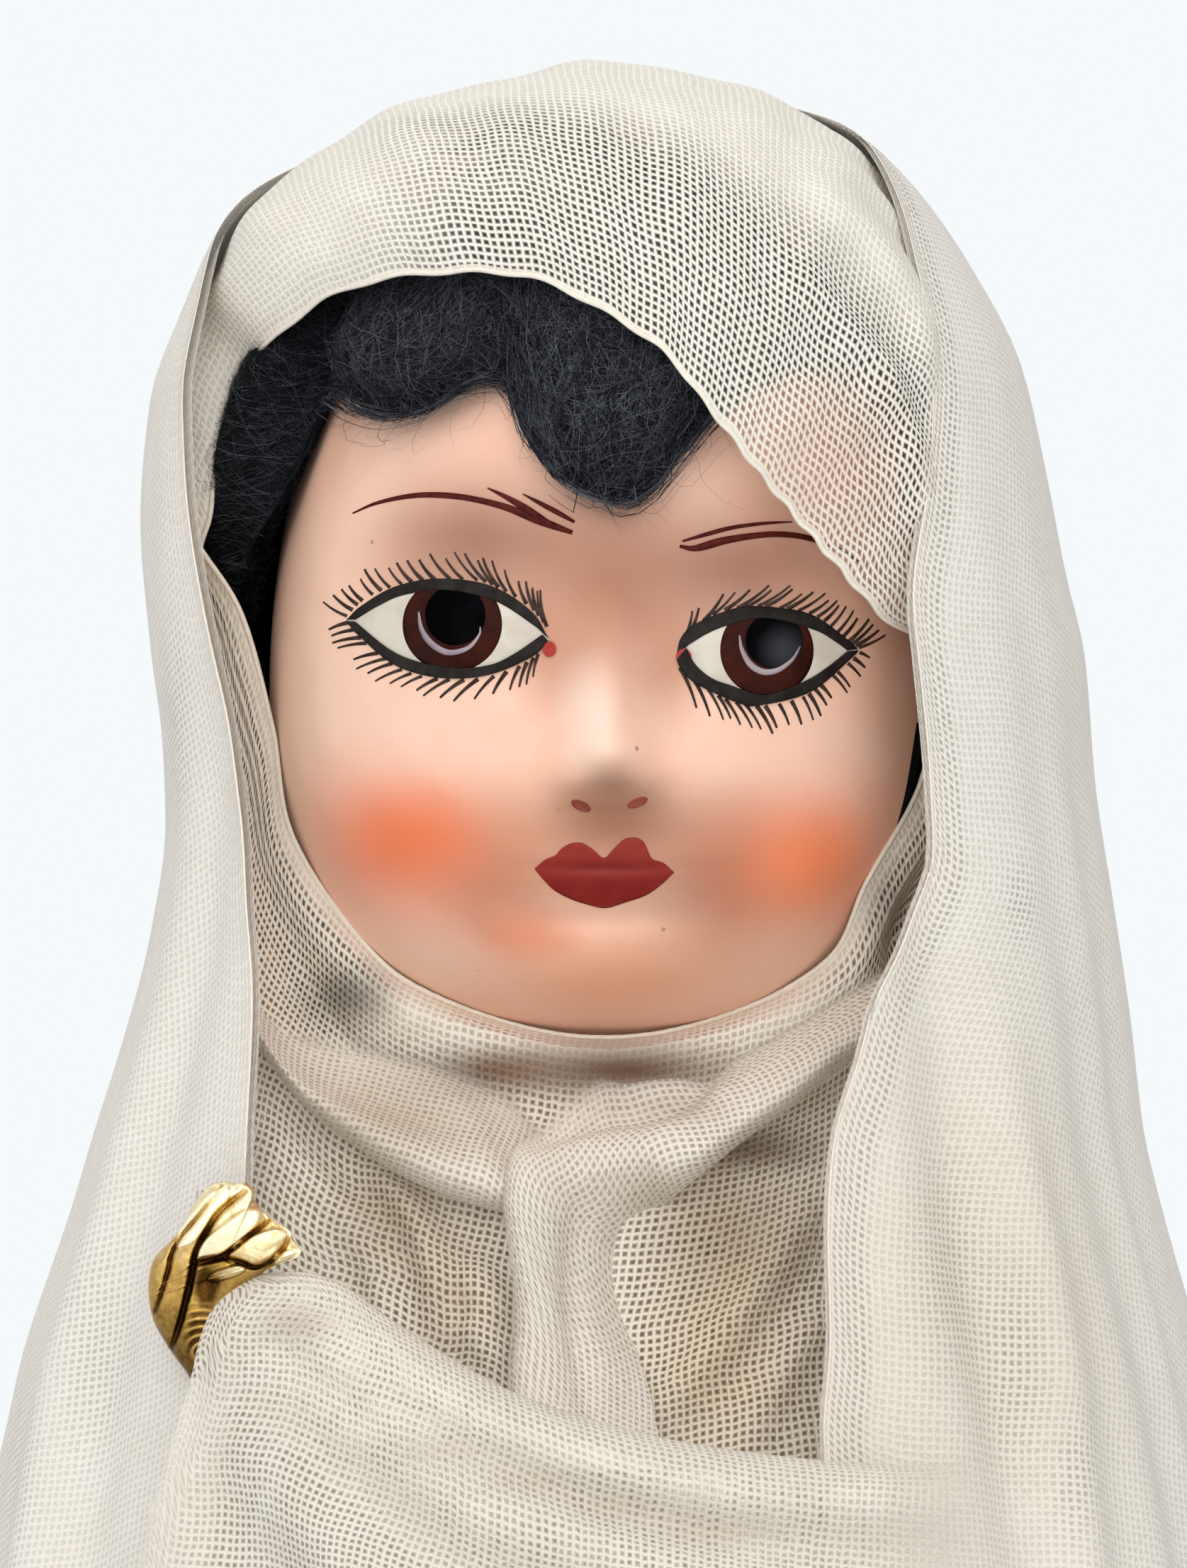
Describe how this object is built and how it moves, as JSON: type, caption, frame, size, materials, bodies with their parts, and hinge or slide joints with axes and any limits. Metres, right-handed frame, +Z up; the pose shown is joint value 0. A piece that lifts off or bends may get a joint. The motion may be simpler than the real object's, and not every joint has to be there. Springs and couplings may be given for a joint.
{
  "type": "papier-mache costume doll",
  "caption": "Standing papier-mache doll with a painted face, mohair wig, wrapped gauze veil pinned by a gilt brooch, long gown and slippers; head, arms and legs turn on strung and wired joints.",
  "frame": {"origin": "on the floor below the middle of the doll, midway between the soles", "axes": "+Z up, the doll faces -Y, and its own left side is +X"},
  "size_m": [0.1188, 0.1066, 0.3402],
  "materials": {
    "painted_face": "painted papier-mache, satin",
    "raw_paper": "unpainted pressed paper, matt",
    "mohair": "black mohair, soft sheen",
    "gauze": "ivory cotton gauze, matt, open weave",
    "cotton": "cream cotton, matt",
    "gilt": "gilt sheet brass, worn",
    "steel_wire": "drawn wire",
    "beech": "turned, bare",
    "elastic_cord": "covered elastic",
    "washer_leather": "brown, bare",
    "slipper_leather": "dyed dark red, satin"
  },
  "bodies": {
    "torso": {"torso_front_shell": "raw_paper", "torso_back_shell": "raw_paper", "hip_block": "beech", "neck_washer": "washer_leather", "neck_elastic": "elastic_cord", "shoulder_wire": "steel_wire", "hip_wire": "steel_wire", "gown_front": "cotton", "gown_left": "cotton", "gown_back": "cotton", "gown_right": "cotton", "chin_wrap": "gauze", "veil_fall_left": "gauze", "veil_fall_right": "gauze", "veil_fall_back": "gauze", "chest_sash": "gauze", "brooch": "gilt", "brooch_pin": "steel_wire"},
    "head": {"face_shell": "painted_face", "head_back_shell": "painted_face", "neck_plug": "beech", "neck_hook": "steel_wire", "wig_cap": "mohair", "temple_lock_right": "mohair", "fringe_lock_right": "mohair", "fringe_lock_centre": "mohair", "fringe_lock_left": "mohair", "temple_lock_left": "mohair", "veil_hood": "gauze"},
    "left_arm": {"left_arm": "painted_face", "left_arm_washer": "washer_leather"},
    "right_arm": {"right_arm": "painted_face", "right_arm_washer": "washer_leather"},
    "left_leg": {"left_leg": "painted_face", "left_slipper": "slipper_leather", "left_sole": "washer_leather", "left_hip_washer": "washer_leather"},
    "right_leg": {"right_leg": "painted_face", "right_slipper": "slipper_leather", "right_sole": "washer_leather", "right_hip_washer": "washer_leather"}
  },
  "joints": [
    {"name": "neck_turn", "type": "hinge", "parent": "torso", "child": "head", "pos_m": [0, 0, 0.254], "axis": [0, 0, 1], "range_deg": [-30, 30]},
    {"name": "left_shoulder", "type": "hinge", "parent": "torso", "child": "left_arm", "pos_m": [0.0313, 0, 0.243], "axis": [1, 0, 0], "range_deg": [-12, 12]},
    {"name": "right_shoulder", "type": "hinge", "parent": "torso", "child": "right_arm", "pos_m": [-0.0313, 0, 0.243], "axis": [1, 0, 0], "range_deg": [-12, 12]},
    {"name": "left_hip", "type": "hinge", "parent": "torso", "child": "left_leg", "pos_m": [0.0147, 0, 0.164], "axis": [1, 0, 0], "range_deg": [-12, 12]},
    {"name": "right_hip", "type": "hinge", "parent": "torso", "child": "right_leg", "pos_m": [-0.0147, 0, 0.164], "axis": [1, 0, 0], "range_deg": [-12, 12]}
  ]
}
